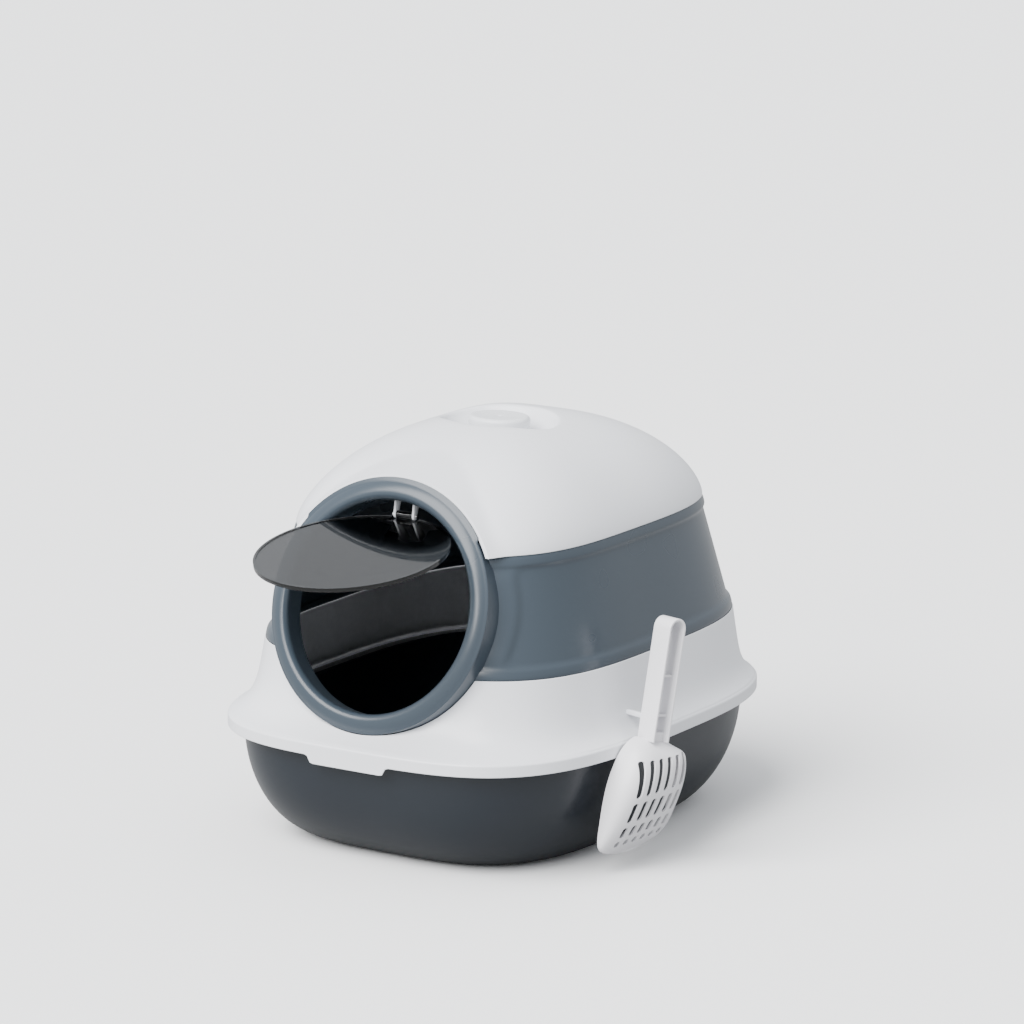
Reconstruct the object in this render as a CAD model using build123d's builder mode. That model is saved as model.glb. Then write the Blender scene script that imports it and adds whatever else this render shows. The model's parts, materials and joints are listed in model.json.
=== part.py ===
"""Hooded cat litter box: tray, three-tier hood, swinging flap, carry handle and scoop.

Millimetres, +Z up, doorway towards -Y. The origin is on the floor under the middle of the
tray rim.
"""

from build123d import *
from math import cos, exp, pi, radians, sin, sqrt, tan
import os

# Driving dimensions: the plan of the hood's flange, and the heights of the tiers
HALF_WIDTH = 211.0
HALF_LENGTH = 260.0
CORNER_POWER = 3.34
SKIRT_BOTTOM = 110.0
DECK = 122.7
BAND_BOTTOM = 191.6
BAND_TOP = 304.6
HEIGHT = 400.0
WALL = 2.6

# How far the hood's wall stands in from the flange: side, front, back
DECK_INSET = (15.0, 34.0, 10.0)
BAND_BOTTOM_INSET = (24.1, 44.7, 17.7)
BAND_TOP_INSET = (53.5, 69.0, 42.5)
DECK_SWEEP = (8.0, 12.0, 6.0)

# Door ring, leaning back with the front wall
DOOR_CENTRE = Vector(0, -202.5, 248.2)
DOOR_LEAN = 17.7
RING_INNER = 101.8
RING_OUTER = 121.2
RING_DEPTH = 24.0
RING_CREST = 6.5
LIP_OVERHANG = 2.6
LIP_ARC = 104.0
FIT_GAP = 0.8

# Flap and its hinge, drawn pushed open as a cat leaves it
HINGE = Vector(0, -157.0, 328.0)
HINGE_PIN_RADIUS = 1.5
RUNNING_CLEARANCE = 0.06
LUG_SPACING = 21.0
LUG_THICKNESS = 2.4
FLAP_DROOP = 9.5
FLAP_RADIUS = 93.0
FLAP_REACH = 91.0
FLAP_THICKNESS = 2.0
FLAP_DROP = 5.0

# Finger dish and carry handle on the crown
DISH_HALF = (60.0, 48.0)
DISH_FLOOR = 378.0
KNOB_HALF = (32.0, 26.0)
KNOB_TOP = 397.0
KNOB_BOTTOM = 386.5
NECK_HALF = (15.0, 12.0)
SCREW_RADIUS = 2.0

# Scoop: where its handle meets the bowl, and how it hangs on the flange peg
SCOOP_JOINT = Vector(217.4, -75.0, 126.5)
SCOOP_TURN = -14.0
SCOOP_TILT = 11.4
STRAP_WIDTH = 22.0
STRAP_SPAN = 21.4
STRAP_THICKNESS = 2.4
HANDLE_LENGTH = 115.0
BOWL_LENGTH = 117.0
BOWL_HALF_WIDTH = 43.0
BOWL_DEPTH = 37.0
BOWL_WALL = 2.0

os.makedirs("parts", exist_ok=True)


def outline(half_width, front, back, centre=0.0, count=36):
    """Points around a rounded-rectangle plan, one reach to the front and one to the back."""
    points = []
    for step in range(count):
        angle = 2 * pi * step / count
        reach = back if sin(angle) > 0 else front
        stretch = abs(cos(angle) / half_width) ** CORNER_POWER + abs(sin(angle) / reach) ** CORNER_POWER
        radius = stretch ** (-1 / CORNER_POWER)
        points.append((radius * cos(angle), centre + radius * sin(angle)))
    return points


def plan_level(height, half_width, front, back, centre=0.0):
    """One closed plan outline at a height, ready to be lofted or extruded."""
    with BuildSketch(Plane.XY.offset(height)) as level:
        with BuildLine():
            Spline(*outline(half_width, front, back, centre), periodic=True)
        make_face()
    return level.sketch


def wall_reaches(height, inward=0.0):
    """Side, front and back reach of the hood's wall at a height, less a distance inward."""
    reaches = []
    for side in range(3):
        if height < BAND_BOTTOM:
            share = (height - DECK) / (BAND_BOTTOM - DECK)
            low, high = DECK_INSET[side], BAND_BOTTOM_INSET[side]
        else:
            share = (height - BAND_BOTTOM) / (BAND_TOP - BAND_BOTTOM)
            low, high = BAND_BOTTOM_INSET[side], BAND_TOP_INSET[side]
        inset = low + (high - low) * share
        inset *= 1 - exp(-max(height - DECK, 0) / DECK_SWEEP[side])
        reaches.append((HALF_WIDTH if side == 0 else HALF_LENGTH) - inset - inward)
    return reaches


def dome_level(share, inward=0.0):
    """Height, three reaches and centre of the dome at a share of its rise."""
    rise = HEIGHT - inward - BAND_TOP
    scale = (1 - share**1.52) ** (1 / 2.16)
    side, front, back = wall_reaches(BAND_TOP, inward)
    return BAND_TOP + share * rise, side * scale, front * scale, back * scale, 6.0 * share


# Frames of the leaning doorway: its face, and a half section through its axis
lean = radians(DOOR_LEAN)
door_normal = Vector(0, -cos(lean), sin(lean))
door_up = Vector(0, sin(lean), cos(lean))
door_face = Plane(origin=DOOR_CENTRE, x_dir=(1, 0, 0), z_dir=door_normal)
door_section = Plane(origin=DOOR_CENTRE, x_dir=(1, 0, 0), z_dir=-door_up)
door_axis = Axis(DOOR_CENTRE, door_normal)

# ---- Tray: a boat-shaped basin with an outward rim under the hood's flange

TRAY_INSET = 14.0
TRAY_FOOT = 0.69
TRAY_RIM_TOP = 119.0
TRAY_FLOOR = 3.0
TRAY_STATIONS = (0, 1, 3, 8, 18, 34, 58, 84, 110)


def tray_level(height, inward=0.0):
    """Height and reaches of the basin, which turns up quickly from a flat bottom."""
    rise = min(height / SKIRT_BOTTOM, 1.0)
    scale = TRAY_FOOT + (1 - TRAY_FOOT) * sqrt(1 - (1 - rise) ** 2)
    side = (HALF_WIDTH - TRAY_INSET) * scale - inward
    length = (HALF_LENGTH - TRAY_INSET) * scale - inward
    return side, length, length


with BuildPart() as tray:
    for height in TRAY_STATIONS:
        add(plan_level(height, *tray_level(height)))
    loft(ruled=True)
    add(plan_level(SKIRT_BOTTOM, *tray_level(SKIRT_BOTTOM)))
    extrude(amount=TRAY_RIM_TOP - SKIRT_BOTTOM)
    rim_side = HALF_WIDTH - WALL - 2.0
    rim_length = HALF_LENGTH - WALL - 2.0
    add(plan_level(TRAY_RIM_TOP - 3.0, rim_side, rim_length, rim_length))
    extrude(amount=3.0)
    for height in TRAY_STATIONS:
        add(plan_level(height + TRAY_FLOOR, *tray_level(height, WALL)))
    loft(ruled=True, mode=Mode.SUBTRACT)
    add(plan_level(SKIRT_BOTTOM + TRAY_FLOOR, *tray_level(SKIRT_BOTTOM, WALL)))
    extrude(amount=TRAY_RIM_TOP - SKIRT_BOTTOM, mode=Mode.SUBTRACT)
tray.part.label = "tray"
export_step(tray.part, "parts/tray.step")

# ---- Scoop frames: l runs across the bowl, h up the handle, w out of its convex back

turn = radians(SCOOP_TURN)
tilt = radians(SCOOP_TILT)
scoop_w = Vector(cos(turn), sin(turn), 0)
scoop_across = Vector(-sin(turn), cos(turn), 0)
scoop_h = scoop_across * sin(tilt) + Vector(0, 0, cos(tilt))
scoop_l = scoop_across * cos(tilt) - Vector(0, 0, sin(tilt))
scoop_face = Plane(origin=SCOOP_JOINT, x_dir=scoop_l, z_dir=scoop_w)
scoop_length = Plane(origin=SCOOP_JOINT, x_dir=scoop_l, z_dir=scoop_h)
FOOT_TOP = 5.0
RIB_HEIGHTS = (20.0, 58.0)
RIB_THICKNESS = 2.4
PEG_WIDTH = 9.0
PEG_DEPTH = 5.0
PEG_OUT = 8.0
PEG_IN = 27.0
PEG_CLEARANCE = 0.4

# ---- Lower hood: skirt, deck and flared wall in one white moulding, with a scoop peg

TAB_HALF_WIDTH = 46.0
TAB_BOTTOM = 102.0
WALL_STATIONS = (0, 2.5, 5, 9, 15, 25, 43, BAND_BOTTOM - DECK + 1)

with BuildPart() as lower_hood:
    add(plan_level(SKIRT_BOTTOM, HALF_WIDTH, HALF_LENGTH, HALF_LENGTH))
    extrude(amount=DECK - SKIRT_BOTTOM)
    fillet(lower_hood.edges().group_by(Axis.Z)[-1], radius=1.8)
    for rise in WALL_STATIONS:
        add(plan_level(DECK - 1 + rise, *wall_reaches(DECK - 1 + rise, 2.0 if rise < 2 else 0.0)))
    loft(ruled=True)
    with BuildSketch(Plane.XY.offset(TAB_BOTTOM)):
        with BuildLine():
            Spline(*outline(HALF_WIDTH, HALF_LENGTH, HALF_LENGTH), periodic=True)
        make_face()
        with Locations((0, -HALF_LENGTH)):
            Rectangle(2 * TAB_HALF_WIDTH, 60, mode=Mode.INTERSECT)
    extrude(amount=SKIRT_BOTTOM - TAB_BOTTOM)
    with BuildSketch(scoop_face.offset(-PEG_IN)):
        with Locations((0, RIB_HEIGHTS[0] - PEG_CLEARANCE - PEG_DEPTH / 2)):
            RectangleRounded(PEG_WIDTH, PEG_DEPTH, 1.2)
    extrude(amount=PEG_IN + PEG_OUT)
    # The hollow inside: skirt pocket first, then the wall
    add(plan_level(TAB_BOTTOM, HALF_WIDTH - WALL, HALF_LENGTH - WALL, HALF_LENGTH - WALL))
    extrude(amount=DECK - WALL - TAB_BOTTOM, mode=Mode.SUBTRACT)
    for rise in WALL_STATIONS[:-1]:
        add(plan_level(DECK - WALL + rise, *wall_reaches(DECK + rise, WALL + 1.5)))
    add(plan_level(BAND_BOTTOM, *wall_reaches(BAND_BOTTOM, WALL)))
    loft(ruled=True, mode=Mode.SUBTRACT)
    with BuildSketch(door_face.offset(25)):
        Circle(RING_OUTER + FIT_GAP)
    extrude(amount=-90, mode=Mode.SUBTRACT)
lower_hood.part.label = "lower_hood"
export_step(lower_hood.part, "parts/lower_hood.step")

# ---- Middle band: recessed panel between two borders, moulded in one with the door ring

BORDER = 11.5
RECESS = 2.5
LAP = 5.0
BAND_WALL = 5.1
TOP_LAP_INSET = 5.2
HINGE_WINDOW = 44.0

with BuildPart() as middle_band:
    for low, high, inward in (
        (BAND_BOTTOM, BAND_BOTTOM + BORDER, 0.0),
        (BAND_BOTTOM + BORDER, BAND_TOP - BORDER, RECESS),
        (BAND_TOP - BORDER, BAND_TOP, 0.0),
    ):
        add(plan_level(low, *wall_reaches(low, inward)))
        add(plan_level(high, *wall_reaches(high, inward)))
        loft(ruled=True)
    add(plan_level(BAND_TOP - LAP, *wall_reaches(BAND_TOP, TOP_LAP_INSET)))
    extrude(amount=2 * LAP)
    add(plan_level(BAND_BOTTOM - LAP, *wall_reaches(BAND_BOTTOM, WALL + 0.3)))
    extrude(amount=LAP)
    add(plan_level(BAND_BOTTOM - LAP, *wall_reaches(BAND_BOTTOM, BAND_WALL)))
    add(plan_level(BAND_TOP, *wall_reaches(BAND_TOP, TOP_LAP_INSET + 2.0)))
    loft(ruled=True, mode=Mode.SUBTRACT)
    add(plan_level(BAND_TOP, *wall_reaches(BAND_TOP, TOP_LAP_INSET + 2.0)))
    extrude(amount=LAP, mode=Mode.SUBTRACT)
    with BuildSketch(door_face.offset(25)):
        Circle(RING_OUTER - WALL)
    extrude(amount=-90, mode=Mode.SUBTRACT)
    # Door ring: a rounded bead with a tube behind it and a deep outer side wall
    with BuildSketch(door_section):
        with BuildLine():
            Polyline((RING_INNER, 0), (RING_INNER, 4 - RING_DEPTH), (RING_INNER + WALL, 4 - RING_DEPTH),
                     (RING_INNER + WALL, 1), (RING_OUTER - WALL, -1), (RING_OUTER - WALL, -RING_DEPTH),
                     (RING_OUTER, -RING_DEPTH), (RING_OUTER, -2))
            Spline((RING_OUTER, -2), (RING_OUTER - 3.5, 1.8), (RING_INNER + 12, 4.4), (RING_INNER + 6.5, RING_CREST),
                   (RING_INNER + 1.7, 4.2), (RING_INNER, 0))
        make_face()
    revolve(axis=door_axis)
    # Window in the back of the ring, at its top, for the hinge lugs
    with BuildSketch(door_face.offset(-5)):
        with Locations((0, RING_OUTER)):
            Rectangle(HINGE_WINDOW, 60)
    extrude(amount=-RING_DEPTH, mode=Mode.SUBTRACT)
    # Thin overhanging lip along the upper arc, where the ring laps over the dome
    with BuildSketch(door_face.offset(-0.9)) as lip:
        with BuildLine():
            half = radians(LIP_ARC / 2)
            reach = RING_OUTER + LIP_OVERHANG
            CenterArc((0, 0), reach, 90 - LIP_ARC / 2, LIP_ARC)
            Polyline((-reach * sin(half), reach * cos(half)), (0, 0), (reach * sin(half), reach * cos(half)))
        make_face()
        Circle(RING_OUTER - 1.5, mode=Mode.SUBTRACT)
    extrude(amount=1.7)
middle_band.part.label = "middle_band"
export_step(middle_band.part, "parts/middle_band.step")

# ---- Dome: the white top tier, with a brow over the ring, a finger dish and two hinge lugs

BROW_FLARE = 30.0
BROW_DEPTH = 70.0
BROW_GAP = 1.6
BROW_RADIUS = RING_OUTER + 4.0
DOME_STEPS = (0, 0.06, 0.15, 0.28, 0.42, 0.56, 0.7, 0.82, 0.91, 0.965, 0.985)
LUG_BOSS = 3.4
LUG_OUTLINE = ((9.5, 129.0), (25.0, 138.0), (22.4, 89.9), (15.7, 89.9))


def brow_circle(back, inward=0.0):
    """A section, behind the ring's face, of the cone that carries the dome forward to it."""
    with BuildSketch(door_face.offset(-back)) as section:
        Circle(BROW_RADIUS + back * tan(radians(BROW_FLARE)) - inward)
    return section.sketch


def door_point(back, up):
    """Y and Z of a point behind the ring's face, on its upright middle plane."""
    point = DOOR_CENTRE + door_up * up - door_normal * back
    return point.Y, point.Z


with BuildPart() as dome_void:
    for share in DOME_STEPS:
        add(plan_level(*dome_level(share, WALL + 0.2)))
    loft(ruled=True)
    add(brow_circle(BROW_GAP, WALL))
    add(brow_circle(BROW_DEPTH, WALL))
    loft(ruled=True)
    split(bisect_by=Plane.XY.offset(BAND_TOP), keep=Keep.TOP)
    # Left standing in the hollow: the finger dish under the crown
    with BuildSketch(Plane.XY.offset(DISH_FLOOR - WALL)):
        with Locations((0, 6)):
            Ellipse(DISH_HALF[0] + 3, DISH_HALF[1] + 3)
    extrude(amount=40, mode=Mode.SUBTRACT)

with BuildPart() as dome_cover:
    for share in DOME_STEPS:
        add(plan_level(*dome_level(share)))
    loft(ruled=True)
    add(brow_circle(BROW_GAP))
    add(brow_circle(BROW_DEPTH))
    loft(ruled=True)
    split(bisect_by=Plane.XY.offset(BAND_TOP), keep=Keep.TOP)
    add(dome_void.part, mode=Mode.SUBTRACT)
    with BuildSketch(Plane.XY.offset(DISH_FLOOR)):
        with Locations((0, 6)):
            Ellipse(DISH_HALF[0] - 16, DISH_HALF[1] - 14)
    with BuildSketch(Plane.XY.offset(DISH_FLOOR + 15)):
        with Locations((0, 6)):
            Ellipse(*DISH_HALF)
    with BuildSketch(Plane.XY.offset(DISH_FLOOR + 30)):
        with Locations((0, 6)):
            Ellipse(DISH_HALF[0] + 4, DISH_HALF[1] + 4)
    loft(ruled=True, mode=Mode.SUBTRACT)
    with Locations((0, 6, DISH_FLOOR - WALL)):
        Cylinder(SCREW_RADIUS + 0.3, 3 * WALL, mode=Mode.SUBTRACT)
    with BuildSketch(door_face.offset(30)):
        Circle(RING_OUTER + FIT_GAP)
    extrude(amount=-(30 + RING_DEPTH + 2), mode=Mode.SUBTRACT)
    # Two hinge lugs hang from the brow, through the window in the ring
    for side in (-1, 1):
        with BuildSketch(Plane.YZ.offset((side * LUG_SPACING - LUG_THICKNESS) / 2)):
            with BuildLine():
                Polyline(*[door_point(back, up) for back, up in LUG_OUTLINE], close=True)
            make_face()
            with Locations((HINGE.Y, HINGE.Z)):
                Circle(LUG_BOSS)
        extrude(amount=LUG_THICKNESS)
    with BuildSketch(Plane.YZ.offset(-LUG_SPACING)):
        with Locations((HINGE.Y, HINGE.Z)):
            Circle(HINGE_PIN_RADIUS + RUNNING_CLEARANCE)
    extrude(amount=2 * LUG_SPACING, mode=Mode.SUBTRACT)
dome_cover.part.label = "dome_cover"
export_step(dome_cover.part, "parts/dome_cover.step")

# ---- Carry handle: an oval knob on a neck in the finger dish, held by one screw from below

with BuildPart() as carry_handle:
    with BuildSketch(Plane.XY.offset(KNOB_BOTTOM)):
        with Locations((0, 6)):
            Ellipse(*KNOB_HALF)
    extrude(amount=KNOB_TOP - KNOB_BOTTOM)
    fillet(carry_handle.edges().group_by(Axis.Z)[-1], radius=3.5)
    fillet(carry_handle.edges().group_by(Axis.Z)[0], radius=2.5)
    with BuildSketch(Plane.XY.offset(DISH_FLOOR)):
        with Locations((0, 6)):
            Ellipse(*NECK_HALF)
    extrude(amount=KNOB_BOTTOM - DISH_FLOOR + 1)
    with Locations((0, 6, DISH_FLOOR + 4.5)):
        Cylinder(SCREW_RADIUS + 0.02, 9.0, mode=Mode.SUBTRACT)
carry_handle.part.label = "carry_handle"
export_step(carry_handle.part, "parts/carry_handle.step")

with BuildPart() as handle_screw:
    with BuildSketch(Plane.XY.offset(DISH_FLOOR - WALL - 2.8)):
        with Locations((0, 6)):
            Circle(4.2)
    extrude(amount=2.8)
    fillet(handle_screw.edges().group_by(Axis.Z)[0], radius=1.2)
    with BuildSketch(Plane.XY.offset(DISH_FLOOR - WALL)):
        with Locations((0, 6)):
            Circle(SCREW_RADIUS)
    extrude(amount=WALL + 8.0)
    with BuildSketch(Plane.XY.offset(DISH_FLOOR - WALL - 2.8)):
        with Locations((0, 6)):
            Rectangle(4.6, 1.1)
            Rectangle(1.1, 4.6)
    extrude(amount=1.5, mode=Mode.SUBTRACT)
handle_screw.part.label = "handle_screw"
export_step(handle_screw.part, "parts/handle_screw.step")

# ---- Door flap: a clear disc with a raised rim and a hinge barrel, and its pin

droop = radians(FLAP_DROOP)
flap_out = Vector(0, -cos(droop), -sin(droop))
flap_up = Vector(0, -sin(droop), cos(droop))
flap_face = Plane(origin=HINGE - flap_up * FLAP_DROP, x_dir=(1, 0, 0), z_dir=flap_up)
BARREL_RADIUS = 3.8
BARREL_HALF = LUG_SPACING / 2 - LUG_THICKNESS / 2 - 0.6
NOTCH_WIDTH = 6.4
NOTCH_DEPTH = 9.0

with BuildPart() as door_flap:
    with BuildSketch(flap_face):
        with Locations((0, -FLAP_REACH)):
            Circle(FLAP_RADIUS)
    extrude(amount=FLAP_THICKNESS)
    with BuildSketch(flap_face.offset(-1.2)):
        with Locations((0, -FLAP_REACH)):
            Circle(FLAP_RADIUS)
            Circle(FLAP_RADIUS - 2.4, mode=Mode.SUBTRACT)
    extrude(amount=1.2 + FLAP_THICKNESS + 0.8)
    # Two notches leave room for the lugs and the ends of the pin
    with BuildSketch(flap_face.offset(-10)):
        for side in (-1, 1):
            with Locations((side * (BARREL_HALF + NOTCH_WIDTH / 2), 0)):
                Rectangle(NOTCH_WIDTH, 2 * NOTCH_DEPTH)
    extrude(amount=20, mode=Mode.SUBTRACT)
    with BuildSketch(Plane.YZ.offset(-BARREL_HALF)):
        with Locations((HINGE.Y, HINGE.Z)):
            Circle(BARREL_RADIUS)
    extrude(amount=2 * BARREL_HALF)
    with BuildSketch(Plane.YZ.offset(-LUG_SPACING)):
        with Locations((HINGE.Y, HINGE.Z)):
            Circle(HINGE_PIN_RADIUS + RUNNING_CLEARANCE)
    extrude(amount=2 * LUG_SPACING, mode=Mode.SUBTRACT)
door_flap.part.label = "door_flap"
export_step(door_flap.part, "parts/door_flap.step")

PIN_HALF = LUG_SPACING / 2 + LUG_THICKNESS / 2 + 1.5

with BuildPart() as flap_hinge_pin:
    with BuildSketch(Plane.YZ.offset(-PIN_HALF)):
        with Locations((HINGE.Y, HINGE.Z)):
            Circle(HINGE_PIN_RADIUS)
    extrude(amount=2 * PIN_HALF)
    with BuildSketch(Plane.YZ.offset(-PIN_HALF)):
        with Locations((HINGE.Y, HINGE.Z)):
            Circle(HINGE_PIN_RADIUS + 1.2)
    extrude(amount=1.3)
flap_hinge_pin.part.label = "flap_hinge_pin"
export_step(flap_hinge_pin.part, "parts/flap_hinge_pin.step")

# ---- Scoop: an egg-shaped slotted bowl on a folded-strap handle with cross ribs

SLOT_PITCH = 10.6
SLOT_WIDTH = 5.8
SLOT_COLUMNS = 6
PAST_FACE = 1.0
BOWL_STATIONS = (2.0, 10.0, 24.0, 42.0, 60.0, 78.0, 95.0, 108.0, 115.5)
SLOT_ROWS = ((-8.0, -32.0), (-44.0, -64.0), (-70.0, -84.0), (-90.0, -102.0))


def bowl_size(drop):
    """Half width and depth of the bowl at a distance below the handle joint."""
    share = drop / BOWL_LENGTH
    width = BOWL_HALF_WIDTH * (1 - abs(2 * share - 1.25) ** 2.6 / 1.86) ** 0.5
    depth = BOWL_DEPTH * (sin(pi * share**0.62)) ** 0.8
    return width, depth


def bowl_section(drop, inward=0.0):
    """One half-oval section across the bowl, a distance below the handle joint. The hollow's
    sections reach a little past the open face."""
    width, depth = bowl_size(drop)
    width -= inward
    depth = max(depth - inward, 0.6)
    arc = [(width * cos(pi * step / 8), -depth * sin(pi * step / 8)) for step in range(9)]
    with BuildSketch(scoop_length.offset(-drop)) as section:
        with BuildLine():
            Spline(*arc)
            if inward:
                Polyline((-width, 0), (-width, PAST_FACE), (width, PAST_FACE), (width, 0))
            else:
                Line((-width, 0), (width, 0))
        make_face()
    return section.sketch


with BuildPart() as scoop:
    for drop in BOWL_STATIONS:
        add(bowl_section(drop))
    loft()
    for drop in BOWL_STATIONS[:-1]:
        add(bowl_section(drop, BOWL_WALL))
    loft(mode=Mode.SUBTRACT)
    with BuildSketch(scoop_face):
        for row in SLOT_ROWS:
            for column in range(SLOT_COLUMNS):
                with Locations(((column - (SLOT_COLUMNS - 1) / 2) * SLOT_PITCH, sum(row) / 2)):
                    SlotOverall(row[0] - row[1], SLOT_WIDTH, rotation=90)
    extrude(amount=BOWL_DEPTH + 5, mode=Mode.SUBTRACT)
    # Folded strap: a hairpin profile pushed through the strap's width
    straight = HANDLE_LENGTH - STRAP_SPAN / 2
    with BuildSketch(scoop_face):
        with Locations((0, straight / 2 - 3)):
            Rectangle(STRAP_SPAN, straight + 6)
        with Locations((0, straight)):
            Circle(STRAP_SPAN / 2)
        with Locations((0, (straight + FOOT_TOP) / 2)):
            Rectangle(STRAP_SPAN - 2 * STRAP_THICKNESS, straight - FOOT_TOP, mode=Mode.SUBTRACT)
        with Locations((0, straight)):
            Circle(STRAP_SPAN / 2 - STRAP_THICKNESS, mode=Mode.SUBTRACT)
        for rise in RIB_HEIGHTS:
            with Locations((0, rise + RIB_THICKNESS / 2)):
                Rectangle(STRAP_SPAN - 1, RIB_THICKNESS)
    extrude(amount=STRAP_WIDTH)
scoop.part.label = "scoop"
export_step(scoop.part, "parts/scoop.step")
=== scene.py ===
import json
from math import cos, pi, radians, sin, tan

import bmesh
import bpy
import numpy as np
from mathutils import Matrix, Vector


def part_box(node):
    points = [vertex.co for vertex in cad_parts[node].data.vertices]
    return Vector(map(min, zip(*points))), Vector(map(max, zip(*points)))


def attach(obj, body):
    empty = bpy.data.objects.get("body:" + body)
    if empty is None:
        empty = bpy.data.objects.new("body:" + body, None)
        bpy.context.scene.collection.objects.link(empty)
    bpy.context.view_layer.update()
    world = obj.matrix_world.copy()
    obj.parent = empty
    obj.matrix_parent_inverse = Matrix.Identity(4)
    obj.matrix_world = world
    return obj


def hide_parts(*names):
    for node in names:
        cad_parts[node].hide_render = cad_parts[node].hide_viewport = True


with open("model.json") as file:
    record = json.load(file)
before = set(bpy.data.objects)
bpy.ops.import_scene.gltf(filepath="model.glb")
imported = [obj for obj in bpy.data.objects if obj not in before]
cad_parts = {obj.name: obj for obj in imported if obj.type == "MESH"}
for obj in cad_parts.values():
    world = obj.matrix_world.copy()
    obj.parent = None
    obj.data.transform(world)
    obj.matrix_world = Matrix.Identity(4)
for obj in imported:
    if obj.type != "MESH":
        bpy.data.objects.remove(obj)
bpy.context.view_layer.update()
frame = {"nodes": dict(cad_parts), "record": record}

# ---- Studio
# A plain pale floor under a broad soft light from high in front, with a dim even sky to fill the
# shadows and one soft lamp for the long highlights on the plastic.
FLOOR_REACH = 9.0
FLOOR_BOUNCE = 0.34
LAMPS = (
    ("key_light", "SUN", (-0.9, -2.6, 3.4), radians(50), 6.8),
    ("sheen_lamp", "AREA", (0.5, -3.4, 1.6), 0.8, 40.0),
)
AIM = Vector((0.0, 0.0, 0.2))
EYE = Vector((2.5885, -3.9755, 1.3696))
EYE_TURN = radians(32.88)
EYE_DROP = radians(13.44)
LENS = 175.6
FRAME_RISE = 0.064


def pale_floor():
    """Matt white paint with a faint mottle, which throws less light back up than it shows."""
    material = bpy.data.materials.new("pale_floor")
    material.use_nodes = True
    tree = material.node_tree
    shader = tree.nodes["Principled BSDF"]
    shader.inputs["Roughness"].default_value = 0.7
    mottle = tree.nodes.new("ShaderNodeTexNoise")
    mottle.inputs["Scale"].default_value = 1.5
    ramp = tree.nodes.new("ShaderNodeValToRGB")
    ramp.color_ramp.elements[0].color = (0.97, 0.97, 0.97, 1)
    ramp.color_ramp.elements[1].color = (0.99, 0.99, 0.99, 1)
    tree.links.new(mottle.outputs["Fac"], ramp.inputs["Fac"])
    path = tree.nodes.new("ShaderNodeLightPath")
    shown = tree.nodes.new("ShaderNodeMixRGB")
    shown.inputs["Color1"].default_value = (FLOOR_BOUNCE, FLOOR_BOUNCE, FLOOR_BOUNCE, 1)
    tree.links.new(path.outputs["Is Camera Ray"], shown.inputs["Fac"])
    tree.links.new(ramp.outputs["Color"], shown.inputs["Color2"])
    tree.links.new(shown.outputs["Color"], shader.inputs["Base Color"])
    return material


floor_mesh = bpy.data.meshes.new("studio_floor")
corners = [(x * FLOOR_REACH, y * FLOOR_REACH, 0) for x, y in ((-1, -1), (1, -1), (1, 1), (-1, 1))]
floor_mesh.from_pydata(corners, [], [(0, 1, 2, 3)])
floor_mesh.materials.append(pale_floor())
studio_floor = bpy.data.objects.new("studio_floor", floor_mesh)
bpy.context.collection.objects.link(studio_floor)

for name, kind, place, width, power in LAMPS:
    light = bpy.data.lights.new(name, kind)
    if kind == "SUN":
        light.angle = width
    else:
        light.size = width
    light.energy = power
    lamp = bpy.data.objects.new(name, light)
    lamp.location = place
    lamp.rotation_euler = (AIM - Vector(place)).to_track_quat("-Z", "Y").to_euler()
    bpy.context.collection.objects.link(lamp)

sky = bpy.data.worlds.new("daylight")
sky.use_nodes = True
sky.node_tree.nodes["Background"].inputs["Color"].default_value = (0.93, 0.96, 1.0, 1)
sky.node_tree.nodes["Background"].inputs["Strength"].default_value = 1.15
bpy.context.scene.world = sky

sight = Vector((-sin(EYE_TURN) * cos(EYE_DROP), cos(EYE_TURN) * cos(EYE_DROP), -sin(EYE_DROP)))
camera_data = bpy.data.cameras.new("camera")
camera_data.lens = LENS
camera_data.sensor_width = 36.0
camera_data.shift_y = FRAME_RISE
camera_data.clip_end = 60.0
camera = bpy.data.objects.new("camera", camera_data)
camera.location = EYE
camera.rotation_euler = sight.to_track_quat("-Z", "Y").to_euler()
bpy.context.collection.objects.link(camera)
bpy.context.scene.camera = camera

# ---- Tray
# A deep charcoal basin moulded in polypropylene. Its sides turn up in a quarter ellipse from a
# flat bottom, and an outward rim carries the hood, hidden by the hood's skirt.
HALF_WIDTH = -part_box("lower_hood")[0].x
HALF_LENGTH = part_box("lower_hood")[1].y
CORNER_POWER = 3.34
AROUND = 480
TRAY_REACHES = (HALF_WIDTH - 0.014, HALF_LENGTH - 0.014)
TRAY_FOOT = 0.69
TRAY_FLOOR = 0.003
TRAY_WALL = 0.0026
TRAY_TURN_UP = 0.110
RIM_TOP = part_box("tray")[1].z
RIM_REACH = 0.0092
CHARCOAL = (0.010, 0.014, 0.020)

angles = np.linspace(0, 2 * pi, AROUND, endpoint=False)


def plan(half_width, front, back, height, centre=0.0):
    """A closed loop of points: the rounded rectangle that every tier has in plan."""
    across, along = np.cos(angles), np.sin(angles)
    reach = np.where(along > 0, back, front)
    stretch = np.abs(across / half_width) ** CORNER_POWER + np.abs(along / reach) ** CORNER_POWER
    radius = stretch ** (-1 / CORNER_POWER)
    return np.stack([radius * across, centre + radius * along, np.zeros(AROUND) + height], axis=1)


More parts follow.
